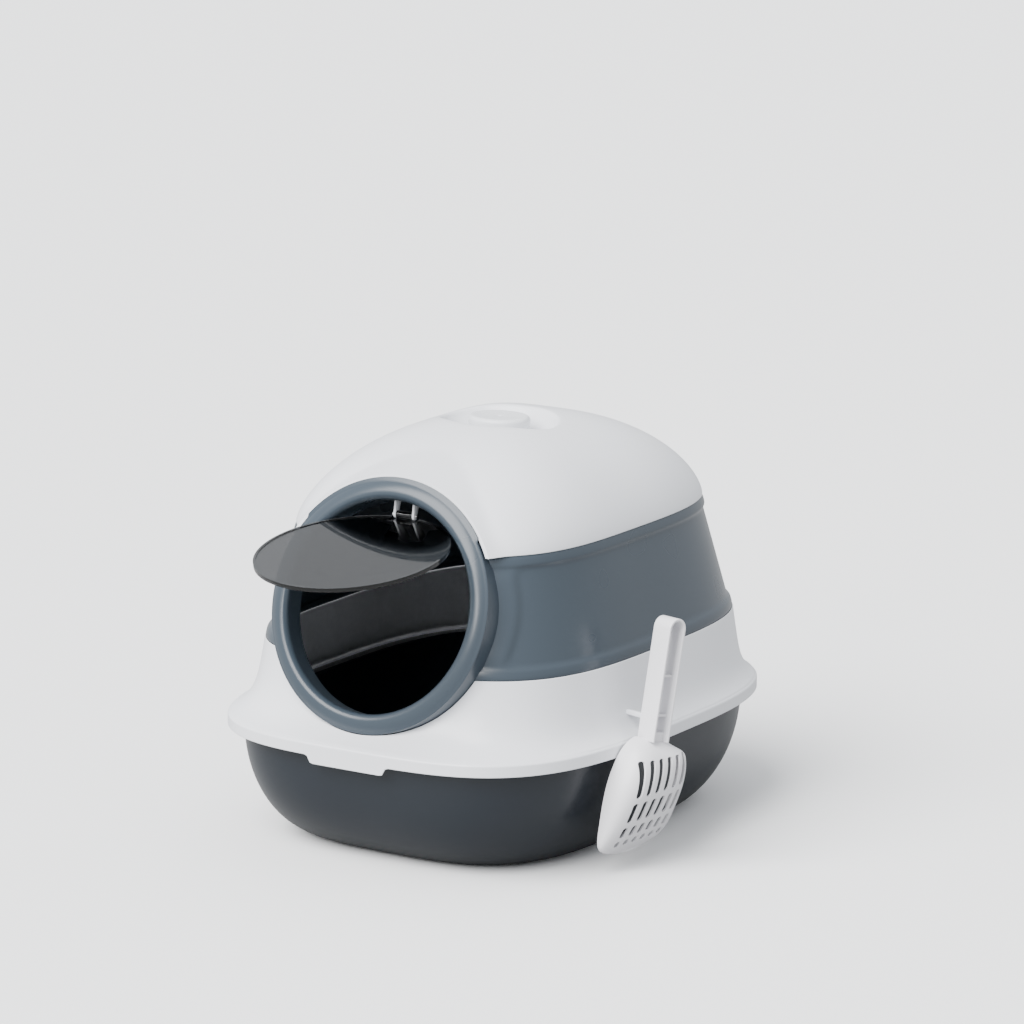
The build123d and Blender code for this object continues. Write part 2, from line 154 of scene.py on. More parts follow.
def skin(name, loops, close_start=False, close_end=False, round_again=False):
    """A piece made of quads between closed loops of points, with a fan over either end."""
    count = len(loops[0])
    points = [tuple(point) for loop in loops for point in loop]
    pairs = [(row, row + 1) for row in range(len(loops) - 1)]
    if round_again:
        pairs.append((len(loops) - 1, 0))
    faces = []
    for low, high in pairs:
        for i in range(count):
            j = (i + 1) % count
            faces.append((low * count + i, low * count + j, high * count + j, high * count + i))
    if close_start:
        points.append(tuple(np.mean(loops[0], axis=0)))
        faces += [((i + 1) % count, i, len(points) - 1) for i in range(count)]
    if close_end:
        points.append(tuple(np.mean(loops[-1], axis=0)))
        start = (len(loops) - 1) * count
        faces += [(start + i, start + (i + 1) % count, len(points) - 1) for i in range(count)]
    mesh = bpy.data.meshes.new(name)
    mesh.from_pydata(points, [], faces)
    mesh.validate()
    piece = bpy.data.objects.new(name, mesh)
    bpy.context.collection.objects.link(piece)
    return piece


def settle(piece):
    """Turns a piece with live modifiers into the plain mesh that they make."""
    bpy.context.view_layer.update()
    evaluated = piece.evaluated_get(bpy.context.evaluated_depsgraph_get())
    mesh = bpy.data.meshes.new_from_object(evaluated)
    piece.modifiers.clear()
    piece.data = mesh


def dress(piece, material, crease=32):
    """Gives a finished mesh its material, smooth faces and crisp edges."""
    piece.data.materials.clear()
    piece.data.materials.append(material)
    for face in piece.data.polygons:
        face.material_index = 0
        face.use_smooth = True
    piece.data.set_sharp_from_angle(angle=radians(crease))


def moulded_plastic(name, colour, low_gloss, high_gloss, grain=0.00001):
    """Injection-moulded plastic: slight flow mottle, fine grain, and dull rubbed patches."""
    material = bpy.data.materials.new(name)
    material.use_nodes = True
    tree = material.node_tree
    shader = tree.nodes["Principled BSDF"]
    shader.inputs["IOR"].default_value = 1.49
    place = tree.nodes.new("ShaderNodeTexCoord")

    def noise(scale, detail):
        texture = tree.nodes.new("ShaderNodeTexNoise")
        texture.inputs["Scale"].default_value = scale
        texture.inputs["Detail"].default_value = detail
        tree.links.new(place.outputs["Object"], texture.inputs["Vector"])
        return texture.outputs["Fac"]

    flow = tree.nodes.new("ShaderNodeValToRGB")
    flow.color_ramp.elements[0].position = 0.15
    flow.color_ramp.elements[1].position = 0.85
    flow.color_ramp.elements[0].color = (*[0.93 * part for part in colour], 1)
    flow.color_ramp.elements[1].color = (*[min(1.05 * part, 1) for part in colour], 1)
    tree.links.new(noise(7.0, 1.0), flow.inputs["Fac"])
    tree.links.new(flow.outputs["Color"], shader.inputs["Base Color"])

    rubbed = tree.nodes.new("ShaderNodeMapRange")
    rubbed.inputs["From Min"].default_value = 0.15
    rubbed.inputs["From Max"].default_value = 0.85
    rubbed.inputs["To Min"].default_value = low_gloss
    rubbed.inputs["To Max"].default_value = high_gloss
    tree.links.new(noise(11.0, 1.0), rubbed.inputs["Value"])
    tree.links.new(rubbed.outputs["Result"], shader.inputs["Roughness"])

    bump = tree.nodes.new("ShaderNodeBump")
    bump.inputs["Strength"].default_value = 0.35
    bump.inputs["Distance"].default_value = grain
    tree.links.new(noise(1500.0, 2.0), bump.inputs["Height"])
    tree.links.new(bump.outputs["Normal"], shader.inputs["Normal"])
    return material


def tray_loop(turned, inward=0.0, lifted=0.0):
    """The basin's outline after turning up through an angle from its flat bottom."""
    scale = TRAY_FOOT + (1 - TRAY_FOOT) * sin(turned)
    side, length = [reach * scale - inward for reach in TRAY_REACHES]
    return plan(side, length, length, TRAY_TURN_UP * (1 - cos(turned)) + lifted)


def shrunk(loop, scale):
    """The same loop, smaller about the middle."""
    return loop * np.array([scale, scale, 1.0])


turns = [radians(90) * step / 28 for step in range(29)]
side, length = TRAY_REACHES
tray_loops = [shrunk(tray_loop(0), scale) for scale in (0.1, 0.35, 0.6, 0.8, 0.92, 0.98)]
tray_loops += [tray_loop(turned) for turned in turns]
tray_loops += [
    plan(side + out, length + out, length + out, height)
    for out, height in (
        (0.0, RIM_TOP - 0.0045),
        (0.001, RIM_TOP - 0.0032),
        (0.003, RIM_TOP - 0.003),
        (RIM_REACH - 0.0005, RIM_TOP - 0.003),
        (RIM_REACH, RIM_TOP - 0.0024),
        (RIM_REACH, RIM_TOP - 0.0007),
        (RIM_REACH - 0.0007, RIM_TOP),
        (0.001, RIM_TOP),
        (-TRAY_WALL + 0.0012, RIM_TOP),
        (-TRAY_WALL, RIM_TOP - 0.0012),
    )
]
tray_loops += [tray_loop(turned, TRAY_WALL, TRAY_FLOOR) for turned in reversed(turns)]
tray_loops += [shrunk(tray_loop(0, TRAY_WALL, TRAY_FLOOR), scale) for scale in (0.9, 0.7, 0.4, 0.1)]
litter_tray = skin("litter_tray", tray_loops, close_start=True, close_end=True)
dress(litter_tray, moulded_plastic("charcoal_plastic", CHARCOAL, 0.30, 0.34))
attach(litter_tray, "tray")
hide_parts("tray")

# ---- Lower hood
# The white bottom tier: an upright skirt over the tray's rim with a pull tab in front, a deck that
# sweeps up into a flared wall, and a small peg on the right that the scoop hangs from.
DECK = 0.1227
SKIRT_BOTTOM = 0.110
SKIRT_EDGE = 0.0024
SKIRT_RISE = DECK - SKIRT_EDGE - SKIRT_BOTTOM
BAND_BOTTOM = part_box("lower_hood")[1].z
BAND_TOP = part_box("dome_cover")[0].z
DECK_INSET = (0.015, 0.034, 0.010)
BAND_BOTTOM_INSET = (0.0241, 0.0447, 0.0177)
BAND_TOP_INSET = (0.0535, 0.069, 0.0425)
DECK_SWEEP = (0.008, 0.012, 0.006)
TAB_HALF_WIDTH = 0.043
TAB_DROP = 0.008
HOOD_WALL = 0.0026
SEAM = 0.0005
WHITE = (0.80, 0.81, 0.84)

DOOR_CENTRE = Vector((0, -0.2025, 0.2482))
DOOR_LEAN = radians(17.7)
DOOR_OUT = Vector((0, -cos(DOOR_LEAN), sin(DOOR_LEAN)))
DOOR_UP = Vector((0, sin(DOOR_LEAN), cos(DOOR_LEAN)))
RING_INNER = 0.1018
RING_OUTER = 0.1212
RING_DEPTH = 0.024
DOOR_FIT = 0.0008


def wall_reaches(height, inward=0.0):
    """Side, front and back reach of the two lower tiers' wall at a height."""
    reaches = []
    for side in range(3):
        if height < BAND_BOTTOM:
            share = (height - DECK) / (BAND_BOTTOM - DECK)
            low, high = DECK_INSET[side], BAND_BOTTOM_INSET[side]
        else:
            share = (height - BAND_BOTTOM) / (BAND_TOP - BAND_BOTTOM)
            low, high = BAND_BOTTOM_INSET[side], BAND_TOP_INSET[side]
        inset = (low + (high - low) * share) * (1 - np.exp(-(height - DECK) / DECK_SWEEP[side]))
        reaches.append((HALF_WIDTH if side == 0 else HALF_LENGTH) - inset - inward)
    return reaches


def ease(value):
    """A soft step from 0 to 1."""
    value = np.clip(value, 0, 1)
    return value * value * (3 - 2 * value)


def lathe(name, profile, closed=True, bulge=None, count=240):
    """A shape turned about the doorway's axis, from (radius, out) pairs. A closed profile ends
    where it starts. A bulge, if given, adds to each radius by its turn from the top."""
    loops = []
    for radius, out in profile:
        loop = []
        for step in range(count):
            turn = 2 * pi * step / count
            reach = radius + (bulge(radius, out, turn) if bulge else 0.0)
            sideways = Vector((reach * sin(turn), 0, 0))
            raised = DOOR_UP * reach * cos(turn) + DOOR_OUT * out
            loop.append(tuple(DOOR_CENTRE + sideways + raised))
        loops.append(loop)
    return skin(name, loops, not closed, not closed, closed)


def outward(piece):
    """Makes every face of a closed piece point outwards."""
    work = bmesh.new()
    work.from_mesh(piece.data)
    bmesh.ops.remove_doubles(work, verts=work.verts, dist=1e-6)
    bmesh.ops.recalc_face_normals(work, faces=work.faces)
    work.to_mesh(piece.data)
    work.free()


def thicken(piece, wall):
    """Gives an outer skin its wall, measured inwards."""
    shell = piece.modifiers.new("wall", "SOLIDIFY")
    shell.thickness = wall
    shell.offset = -1.0
    shell.use_even_offset = True
    settle(piece)


def carve(piece, cutter, operation="DIFFERENCE"):
    """Cuts one closed piece out of another and removes the cutter."""
    knife = piece.modifiers.new("carve", "BOOLEAN")
    knife.operation = operation
    knife.solver = "EXACT"
    knife.object = cutter
    settle(piece)
    bpy.data.objects.remove(cutter)


def weld(piece, *others):
    """Joins other meshes into a piece, as parts of the same moulding."""
    work = bmesh.new()
    work.from_mesh(piece.data)
    for other in others:
        work.from_mesh(other.data)
        bpy.data.objects.remove(other)
    work.to_mesh(piece.data)
    work.free()


def bar(name, centre, axes, size, edge):
    """A small block with rounded edges, its three sizes along three directions."""
    mesh = bpy.data.meshes.new(name)
    work = bmesh.new()
    bmesh.ops.create_cube(work, size=1.0)
    bmesh.ops.scale(work, vec=size, verts=work.verts)
    bmesh.ops.bevel(work, geom=work.edges, offset=edge, segments=3, profile=0.5, affect="EDGES")
    turned = Matrix(axes).transposed().to_4x4()
    bmesh.ops.transform(work, matrix=Matrix.Translation(centre) @ turned, verts=work.verts)
    bmesh.ops.recalc_face_normals(work, faces=work.faces)
    work.to_mesh(mesh)
    work.free()
    piece = bpy.data.objects.new(name, mesh)
    bpy.context.collection.objects.link(piece)
    return piece


def door_plug(radius, depth):
    """A cutter for the doorway."""
    plug = lathe("door_plug", [(radius, -depth), (radius, 0.06)], closed=False)
    outward(plug)
    return plug


def skirt_loop(out, height, drop):
    """One outline of the skirt, lowered over the pull tab."""
    loop = plan(HALF_WIDTH - out, HALF_LENGTH - out, HALF_LENGTH - out, height)
    tab = ease((TAB_HALF_WIDTH - np.abs(loop[:, 0])) / 0.006 + 0.5) * (loop[:, 1] < 0)
    loop[:, 2] -= drop * tab
    return loop


hood_loops = [skirt_loop(0.0006, SKIRT_BOTTOM, TAB_DROP)]
hood_loops += [
    skirt_loop(0.0, SKIRT_BOTTOM + 0.0006 + share * SKIRT_RISE, TAB_DROP * (1 - share))
    for share in (0.0, 0.06, 0.35, 0.7, 0.93)
]
for turned in (0, 20, 40, 60, 75):
    out = SKIRT_EDGE * (1 - cos(radians(turned)))
    hood_loops.append(skirt_loop(out, DECK - SKIRT_EDGE * (1 - sin(radians(turned))), 0.0))
for step in range(34):
    height = DECK + 0.0016 + (BAND_BOTTOM - DECK - 0.0016 - SEAM) * (step / 33) ** 1.8
    hood_loops.append(plan(*wall_reaches(height), height))
hood_loops.append(plan(*wall_reaches(BAND_BOTTOM, SEAM), BAND_BOTTOM))
hood_skirt = skin("hood_skirt", hood_loops)
thicken(hood_skirt, HOOD_WALL)
carve(hood_skirt, door_plug(RING_OUTER + DOOR_FIT, 0.065))

SCOOP_TURN = radians(-14.0)
SCOOP_TILT = radians(11.4)
SCOOP_JOINT = Vector((0.2174, -0.0750, 0.1265))
SCOOP_OUT = Vector((cos(SCOOP_TURN), sin(SCOOP_TURN), 0))
across = Vector((-sin(SCOOP_TURN), cos(SCOOP_TURN), 0))
SCOOP_UP = across * sin(SCOOP_TILT) + Vector((0, 0, cos(SCOOP_TILT)))
SCOOP_ACROSS = across * cos(SCOOP_TILT) - Vector((0, 0, sin(SCOOP_TILT)))
PEG_HEIGHT = 0.0171
PEG_REACH = (-0.026, 0.008)
PEG_SIZE = (0.009, 0.005)
peg_centre = SCOOP_JOINT + SCOOP_UP * PEG_HEIGHT + SCOOP_OUT * sum(PEG_REACH) / 2
peg_size = (*PEG_SIZE, PEG_REACH[1] - PEG_REACH[0])
scoop_axes = (SCOOP_ACROSS, SCOOP_UP, SCOOP_OUT)
weld(hood_skirt, bar("scoop_peg", peg_centre, scoop_axes, peg_size, 0.0012))
white_plastic = moulded_plastic("white_plastic", WHITE, 0.27, 0.32)
dress(hood_skirt, white_plastic)
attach(hood_skirt, "hood")
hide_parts("lower_hood")

# ---- Middle band and door ring
# One slate-blue moulding. The band has a sunk panel between two raised borders, and the round
# doorway's ring stands out of its front, with a rolled front edge and a lip over the dome.
BORDER = 0.0115
PANEL_SINK = 0.0025
PANEL_SOFTNESS = 0.006
RING_BORDER = 0.015
BEAD = 0.0011
BAND_WALL = 0.0042
LIP_OVERHANG = 0.0026
LIP_HALF_ARC = radians(52)
HINGE_WINDOW = 0.044
ROLL_WIDTH = 0.0068
ROLL_RISE = 0.0064
FACE_FALL = 0.0046
RING_TAIL = -0.0195
RING_WALL = 0.0026
SLATE = (0.038, 0.052, 0.067)


def soft_least(first, second, softness):
    """The smaller of two values, rounded where they cross."""
    near = np.clip(0.5 + 0.5 * (second - first) / softness, 0, 1)
    return second + (first - second) * near - softness * near * (1 - near)


def band_sink(loop, height):
    """How far the band's surface lies inside its plain wall, point by point."""
    offset = loop - np.array(DOOR_CENTRE)
    from_door = np.hypot(offset[:, 0], offset @ np.array(DOOR_UP)) - RING_OUTER
    from_door = np.where(loop[:, 1] < 0, from_door, 1.0) - RING_BORDER
    from_edge = min(height - BAND_BOTTOM, BAND_TOP - height) - BORDER
    inside = soft_least(from_door, np.zeros(AROUND) + from_edge, 0.012)
    sunk = PANEL_SINK * ease(inside / PANEL_SOFTNESS + 0.5)
    bead_place = min(height - BAND_BOTTOM, BAND_TOP - height) / BORDER
    bead = BEAD * abs(2 * bead_place - 1) ** 3 if bead_place < 1 else BEAD * ease(2 - bead_place)
    return sunk + bead * (1 - ease(inside / PANEL_SOFTNESS + 0.5))


band_loops = []
border_steps = [BORDER * 1.5 * (step / 14) for step in range(15)]
panel_steps = np.linspace(BORDER * 1.5, BAND_TOP - BAND_BOTTOM - BORDER * 1.5, 26)[1:-1]
band_heights = border_steps + list(panel_steps)
band_heights += [BAND_TOP - BAND_BOTTOM - step for step in reversed(border_steps)]
for rise in band_heights:
    height = BAND_BOTTOM + rise
    plain = plan(*wall_reaches(height), height)
    sink = band_sink(plain, height)
    half_width, front, back = wall_reaches(height)
    band_loops.append(plan(half_width - sink, front - sink, back - sink, height))
slate_band = skin("slate_band", band_loops)
thicken(slate_band, BAND_WALL)
carve(slate_band, door_plug(RING_OUTER - 0.0015, 0.065))


def lip_bulge(radius, out, turn):
    """The overhanging lip along the ring's upper edge, ending in a short step each side."""
    from_top = abs((turn + pi) % (2 * pi) - pi)
    on_lip = ease((0.0016 - abs(out)) / 0.0008) if radius > RING_OUTER - 0.001 else 0.0
    return LIP_OVERHANG * float(on_lip * ease((LIP_HALF_ARC - from_top) / 0.02 + 0.5))


ring_profile = [(RING_INNER, out) for out in (RING_TAIL, -0.015, -0.010, -0.005, -0.0008)]
for step in range(11):
    turned = radians(90) * step / 10
    ring_profile.append((RING_INNER + ROLL_WIDTH * (1 - cos(turned)), ROLL_RISE * sin(turned)))
for step in range(1, 11):
    share = step / 10
    slope = ROLL_RISE - FACE_FALL * share**1.7
    reach = RING_INNER + ROLL_WIDTH + (RING_OUTER - RING_INNER - ROLL_WIDTH - 0.002) * share
    ring_profile.append((reach, slope))
ring_profile += [(RING_OUTER - 0.0008, 0.0013), (RING_OUTER - 0.0001, 0.0007)]
ring_profile += [(RING_OUTER, out) for out in (0.0, -0.0008, -0.0016, -0.004, -0.010, -0.017)]
ring_profile += [
    (RING_OUTER, -RING_DEPTH + 0.0004),
    (RING_OUTER - 0.0004, -RING_DEPTH),
    (RING_OUTER - RING_WALL + 0.0004, -RING_DEPTH),
    (RING_OUTER - RING_WALL, -RING_DEPTH + 0.0004),
    (RING_OUTER - RING_WALL, -0.003),
    (RING_INNER + 0.0045, -0.001),
    (RING_INNER + RING_WALL, -0.004),
    (RING_INNER + RING_WALL, RING_TAIL),
    (RING_INNER + RING_WALL / 2, RING_TAIL - 0.001),
]
door_ring = lathe("door_ring", ring_profile, bulge=lip_bulge, count=360)
outward(door_ring)
window_centre = DOOR_CENTRE + DOOR_UP * RING_OUTER - DOOR_OUT * 0.020
window_axes = (Vector((1, 0, 0)), DOOR_UP, DOOR_OUT)
window_size = (HINGE_WINDOW, 0.06, 0.03)
carve(door_ring, bar("hinge_window", window_centre, window_axes, window_size, 0.001))
weld(slate_band, door_ring)
dress(slate_band, moulded_plastic("slate_plastic", SLATE, 0.26, 0.31))
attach(slate_band, "hood")
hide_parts("middle_band")

# ---- Dome
# The white top tier: a crowned cover that snaps onto the band, drawn forward into a brow round the
# ring's top, with an oval finger dish in its crown and two thin hinge lugs under the brow.
CROWN = 0.400
CROWN_SHIFT = 0.006
RISE_POWER = 1.52
REACH_POWER = 2.16
DOME_WALL = 0.0028
SHOULDER = 0.84
BROW_RADIUS = RING_OUTER + 0.004
BROW_FLARE = tan(radians(30))
BROW_DEPTH = 0.070
BROW_GAP = 0.0016
BROW_START = -0.015
VALLEY = 0.004
DISH_HALF = (0.060, 0.048)
DISH_LIP = 0.003
DISH_FLOOR = 0.378
SCREW_HOLE = 0.0023
LUG_SPACING = 0.021
LUG_THICKNESS = 0.0024
LUG_BOSS = 0.0034
LUG_ROOT = ((0.0095, 0.129), (0.025, 0.138))
HINGE = Vector(frame["record"]["behaviour"]["joints"][1]["pos_m"])


def brow_reach(height, centre):
    """How far the brow's cone carries each direction out, or 0 where it doesn't."""
    c, s = np.cos(angles), np.sin(angles)
    lean_c, lean_s = cos(DOOR_LEAN), sin(DOOR_LEAN)
    forward = centre - DOOR_CENTRE.y
    raised = height - DOOR_CENTRE.z
    back_0 = lean_c * forward - lean_s * raised
    up_0 = lean_s * forward + lean_c * raised
    limit_0 = BROW_RADIUS + BROW_FLARE * back_0
    square = c**2 + (lean_s * s) ** 2 - (BROW_FLARE * lean_c * s) ** 2
    half = up_0 * lean_s * s - limit_0 * BROW_FLARE * lean_c * s
    constant = up_0**2 - limit_0**2
    spread = half**2 - square * constant
    below = half + np.sqrt(np.maximum(spread, 0))
    leaves = (spread >= 0) & (below > 1e-9)
    cone = np.where(leaves, -constant / np.where(leaves, below, 1.0), 9.0)
    forwards = s < -1e-6
    face = np.where(forwards, (back_0 - BROW_START) / np.where(forwards, -s * lean_c, 1.0), 9.0)
    reach = np.minimum(cone, face)
    back = back_0 + reach * s * lean_c
    return np.where(back < BROW_DEPTH, reach, 0.0)


def dome_loop(share):
    """The dome's outline at a share of its rise, with the brow worked in."""
    height = BAND_TOP + share * (CROWN - BAND_TOP)
    scale = (1 - share**RISE_POWER) ** (1 / REACH_POWER)
    centre = CROWN_SHIFT * share
    half_width, front, back = [reach * scale for reach in wall_reaches(BAND_TOP)]
    plain = plan(half_width, front, back, height, centre)
    radius = np.hypot(plain[:, 0], plain[:, 1] - centre)
    brow = brow_reach(height, centre)
    near = np.clip(0.5 + 0.5 * (brow - radius) / VALLEY, 0, 1)
    radius = radius + (brow - radius) * near + VALLEY * near * (1 - near)
    return np.stack([radius * np.cos(angles), centre + radius * np.sin(angles), plain[:, 2]], axis=1)


def crown_height(x, y):
    """Height of the dome's surface over a point near the crown."""
    half_width, front, back = wall_reaches(BAND_TOP)
    share = np.zeros_like(x) + 0.95
    for _ in range(4):
        along = y - CROWN_SHIFT * share
        reach = np.where(along > 0, back, front)
        stretch = np.abs(x / half_width) ** CORNER_POWER
        stretch += np.abs(along / reach) ** CORNER_POWER
        share = (1 - stretch ** (REACH_POWER / CORNER_POWER)) ** (1 / RISE_POWER)
    return BAND_TOP + share * (CROWN - BAND_TOP)


def dish_loop(half_x, half_y, height=None, below=0.0):
    """An oval of the dish, at a height or a little below the dome's surface."""
    x = half_x * np.cos(angles)
    y = CROWN_SHIFT + half_y * np.sin(angles)
    z = crown_height(x, y) - below if height is None else np.zeros(AROUND) + height
    return np.stack([x, y, z], axis=1)


dome_loops = [shrunk(dome_loop(0), 1 - SEAM / HALF_WIDTH)]
dome_loops += [dome_loop(share) for share in np.linspace(SEAM / (CROWN - BAND_TOP), SHOULDER, 60)]
shoulder_loop = dome_loops[-1]
lip_half = (DISH_HALF[0] + DISH_LIP, DISH_HALF[1] + DISH_LIP)
lip_loop = dish_loop(*lip_half)
for step in range(1, 9):
    mixed = shoulder_loop + (lip_loop - shoulder_loop) * step / 8
    mixed[:, 2] = crown_height(mixed[:, 0], mixed[:, 1])
    dome_loops.append(mixed)
for inset, below in ((0.0012, 0.0003), (0.0026, 0.0011), (0.0038, 0.0023), (0.0047, 0.0038)):
    dome_loops.append(dish_loop(lip_half[0] - inset, lip_half[1] - inset, below=below))
dish_top = dome_loops[-1]
dish_foot = dish_loop(DISH_HALF[0] - 0.019, DISH_HALF[1] - 0.018, DISH_FLOOR)
for step in range(1, 11):
    share = step / 10
    mixed = dish_top + (dish_foot - dish_top) * share
    mixed[:, 2] = dish_foot[:, 2] + (dish_top[:, 2] - DISH_FLOOR) * (1 - share) ** 1.8
    dome_loops.append(mixed)
for half_x, half_y in ((0.034, 0.025), (0.022, 0.018), (0.010, 0.009), (SCREW_HOLE, SCREW_HOLE)):
    dome_loops.append(dish_loop(half_x, half_y, DISH_FLOOR))
dome = skin("dome", dome_loops)
thicken(dome, DOME_WALL)
plug_profile = [
    (RING_OUTER + DOOR_FIT, -RING_DEPTH - 0.002),
    (RING_OUTER + DOOR_FIT, -BROW_GAP),
    (0.200, -BROW_GAP),
    (0.200, 0.06),
]
brow_plug = lathe("brow_plug", plug_profile, closed=False, count=360)
outward(brow_plug)
carve(dome, brow_plug)


def hinge_lug(offset):
    """A thin plate under the brow, rounded to a boss at the pin."""
    outline = []
    for back, up in LUG_ROOT:
        point = DOOR_CENTRE + DOOR_UP * up - DOOR_OUT * back
        outline.append((point.y, point.z))
    for step in range(17):
        turn = radians(20 - 220 * step / 16)
        outline.append((HINGE.y + LUG_BOSS * cos(turn), HINGE.z + LUG_BOSS * sin(turn)))
    work = bmesh.new()
    face = work.faces.new([work.verts.new((offset - LUG_THICKNESS / 2, y, z)) for y, z in outline])
    moved = bmesh.ops.extrude_face_region(work, geom=[face])["geom"]
    for vert in (item for item in moved if isinstance(item, bmesh.types.BMVert)):
        vert.co.x += LUG_THICKNESS
    bmesh.ops.recalc_face_normals(work, faces=work.faces)
    edges = [edge for edge in work.edges if abs(edge.verts[0].co.x - edge.verts[1].co.x) < 1e-6]
    bmesh.ops.bevel(work, geom=edges, offset=0.0004, segments=2, profile=0.5, affect="EDGES")
    mesh = bpy.data.meshes.new("hinge_lug")
    work.to_mesh(mesh)
    work.free()
    piece = bpy.data.objects.new("hinge_lug", mesh)
    bpy.context.collection.objects.link(piece)
    return piece


weld(dome, hinge_lug(-LUG_SPACING / 2), hinge_lug(LUG_SPACING / 2))
dress(dome, white_plastic)
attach(dome, "hood")
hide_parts("dome_cover")

# ---- Carry handle and its screw
# A white oval knob on a waisted neck, moulded solid, with a slightly hollow top and a small sink
# mark over the screw that holds it from inside the dome.
KNOB_HALF = (0.032, 0.026)
KNOB_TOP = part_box("carry_handle")[1].z
KNOB_BOTTOM = 0.3865
KNOB_UNDER_EDGE = 0.0026
KNOB_TOP_EDGE = 0.0042
NECK_HALF = (0.015, 0.012)


def knob_loop(inset, height):
    """An oval of the knob, in from its widest outline."""
    return dish_loop(KNOB_HALF[0] - inset, KNOB_HALF[1] - inset, height)


def neck_loop(outset, height):
    """An oval of the neck, out from its nominal size."""
    return dish_loop(NECK_HALF[0] + outset, NECK_HALF[1] + outset, height)


knob_loops = [
    dish_loop(NECK_HALF[0] * scale, NECK_HALF[1] * scale, DISH_FLOOR) for scale in (0.2, 0.7, 1.0)
]
knob_loops += [
    neck_loop(-0.0006, DISH_FLOOR + 0.0012),
    neck_loop(-0.0010, DISH_FLOOR + 0.0040),
    neck_loop(-0.0002, KNOB_BOTTOM - 0.0014),
    neck_loop(0.0012, KNOB_BOTTOM - 0.0002),
]
knob_loops += [knob_loop(inset, KNOB_BOTTOM) for inset in (0.012, 0.006, KNOB_UNDER_EDGE)]
for turned in range(15, 91, 15):
    inset = KNOB_UNDER_EDGE * (1 - sin(radians(turned)))
    rise = KNOB_UNDER_EDGE * (1 - cos(radians(turned)))
    knob_loops.append(knob_loop(inset, KNOB_BOTTOM + rise))
for turned in range(0, 91, 10):
    inset = KNOB_TOP_EDGE * (1 - cos(radians(turned)))
    fall = KNOB_TOP_EDGE * (1 - sin(radians(turned)))
    knob_loops.append(knob_loop(inset, KNOB_TOP - fall))
for inset in (0.0062, 0.009, 0.013, 0.018, 0.0225):
    knob_loops.append(knob_loop(inset, KNOB_TOP - 0.0006 * ease((inset - KNOB_TOP_EDGE) / 0.012)))
for radius, sink in ((0.0030, 0.0007), (0.0024, 0.0009), (0.0018, 0.0014), (0.0008, 0.0016)):
    knob_loops.append(dish_loop(radius, radius, KNOB_TOP - sink))
lift_knob = skin("lift_knob", knob_loops, close_start=True, close_end=True)
dress(lift_knob, moulded_plastic("knob_plastic", (0.76, 0.775, 0.80), 0.26, 0.36))
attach(lift_knob, "hood")
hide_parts("carry_handle")


def plain_steel():
    """Bright drawn steel, faintly streaked along its length."""
    material = bpy.data.materials.new("plain_steel")
    material.use_nodes = True
    tree = material.node_tree
    shader = tree.nodes["Principled BSDF"]
    shader.inputs["Metallic"].default_value = 1.0
    place = tree.nodes.new("ShaderNodeTexCoord")
    stretch = tree.nodes.new("ShaderNodeMapping")
    stretch.inputs["Scale"].default_value = (40.0, 900.0, 900.0)
    streaks = tree.nodes.new("ShaderNodeTexNoise")
    streaks.inputs["Detail"].default_value = 4.0
    tree.links.new(place.outputs["Object"], stretch.inputs["Vector"])
    tree.links.new(stretch.outputs["Vector"], streaks.inputs["Vector"])
    tone = tree.nodes.new("ShaderNodeValToRGB")
    tone.color_ramp.elements[0].color = (0.50, 0.50, 0.51, 1)
    tone.color_ramp.elements[1].color = (0.68, 0.68, 0.69, 1)
    tree.links.new(streaks.outputs["Fac"], tone.inputs["Fac"])
    tree.links.new(tone.outputs["Color"], shader.inputs["Base Color"])
    dull = tree.nodes.new("ShaderNodeMapRange")
    dull.inputs["To Min"].default_value = 0.18
    dull.inputs["To Max"].default_value = 0.38
    tree.links.new(streaks.outputs["Fac"], dull.inputs["Value"])
    tree.links.new(dull.outputs["Result"], shader.inputs["Roughness"])
    return material


steel = plain_steel()
for node in ("handle_screw", "flap_hinge_pin"):
    metal = frame["nodes"][node]
    metal.data.materials.clear()
    metal.data.materials.append(steel)

# ---- Door flap
# A smoked clear acrylic disc with a raised rim, moulded with the barrel that the hinge pin runs
# through, and shown pushed open.


def smoked_acrylic():
    """Polished see-through plastic with a grey tint and faint swirled wiping marks."""
    material = bpy.data.materials.new("smoked_acrylic")
    material.use_nodes = True
    tree = material.node_tree
    shader = tree.nodes["Principled BSDF"]
    shader.inputs["IOR"].default_value = 1.49
    shader.inputs["Transmission Weight"].default_value = 1.0
    place = tree.nodes.new("ShaderNodeTexCoord")
    swirl = tree.nodes.new("ShaderNodeTexNoise")
    swirl.inputs["Scale"].default_value = 34.0
    swirl.inputs["Detail"].default_value = 6.0
    swirl.inputs["Distortion"].default_value = 1.5
    tree.links.new(place.outputs["Object"], swirl.inputs["Vector"])
    wiped = tree.nodes.new("ShaderNodeMapRange")
    wiped.inputs["From Min"].default_value = 0.4
    wiped.inputs["From Max"].default_value = 0.75
    wiped.inputs["To Min"].default_value = 0.03
    wiped.inputs["To Max"].default_value = 0.10
    tree.links.new(swirl.outputs["Fac"], wiped.inputs["Value"])
    tree.links.new(wiped.outputs["Result"], shader.inputs["Roughness"])
    tint = tree.nodes.new("ShaderNodeValToRGB")
    tint.color_ramp.elements[0].color = (0.055, 0.057, 0.060, 1)
    tint.color_ramp.elements[1].color = (0.085, 0.087, 0.090, 1)
    tree.links.new(swirl.outputs["Fac"], tint.inputs["Fac"])
    tree.links.new(tint.outputs["Color"], shader.inputs["Base Color"])
    return material


flap = frame["nodes"]["door_flap"]
flap.data.materials.clear()
flap.data.materials.append(smoked_acrylic())

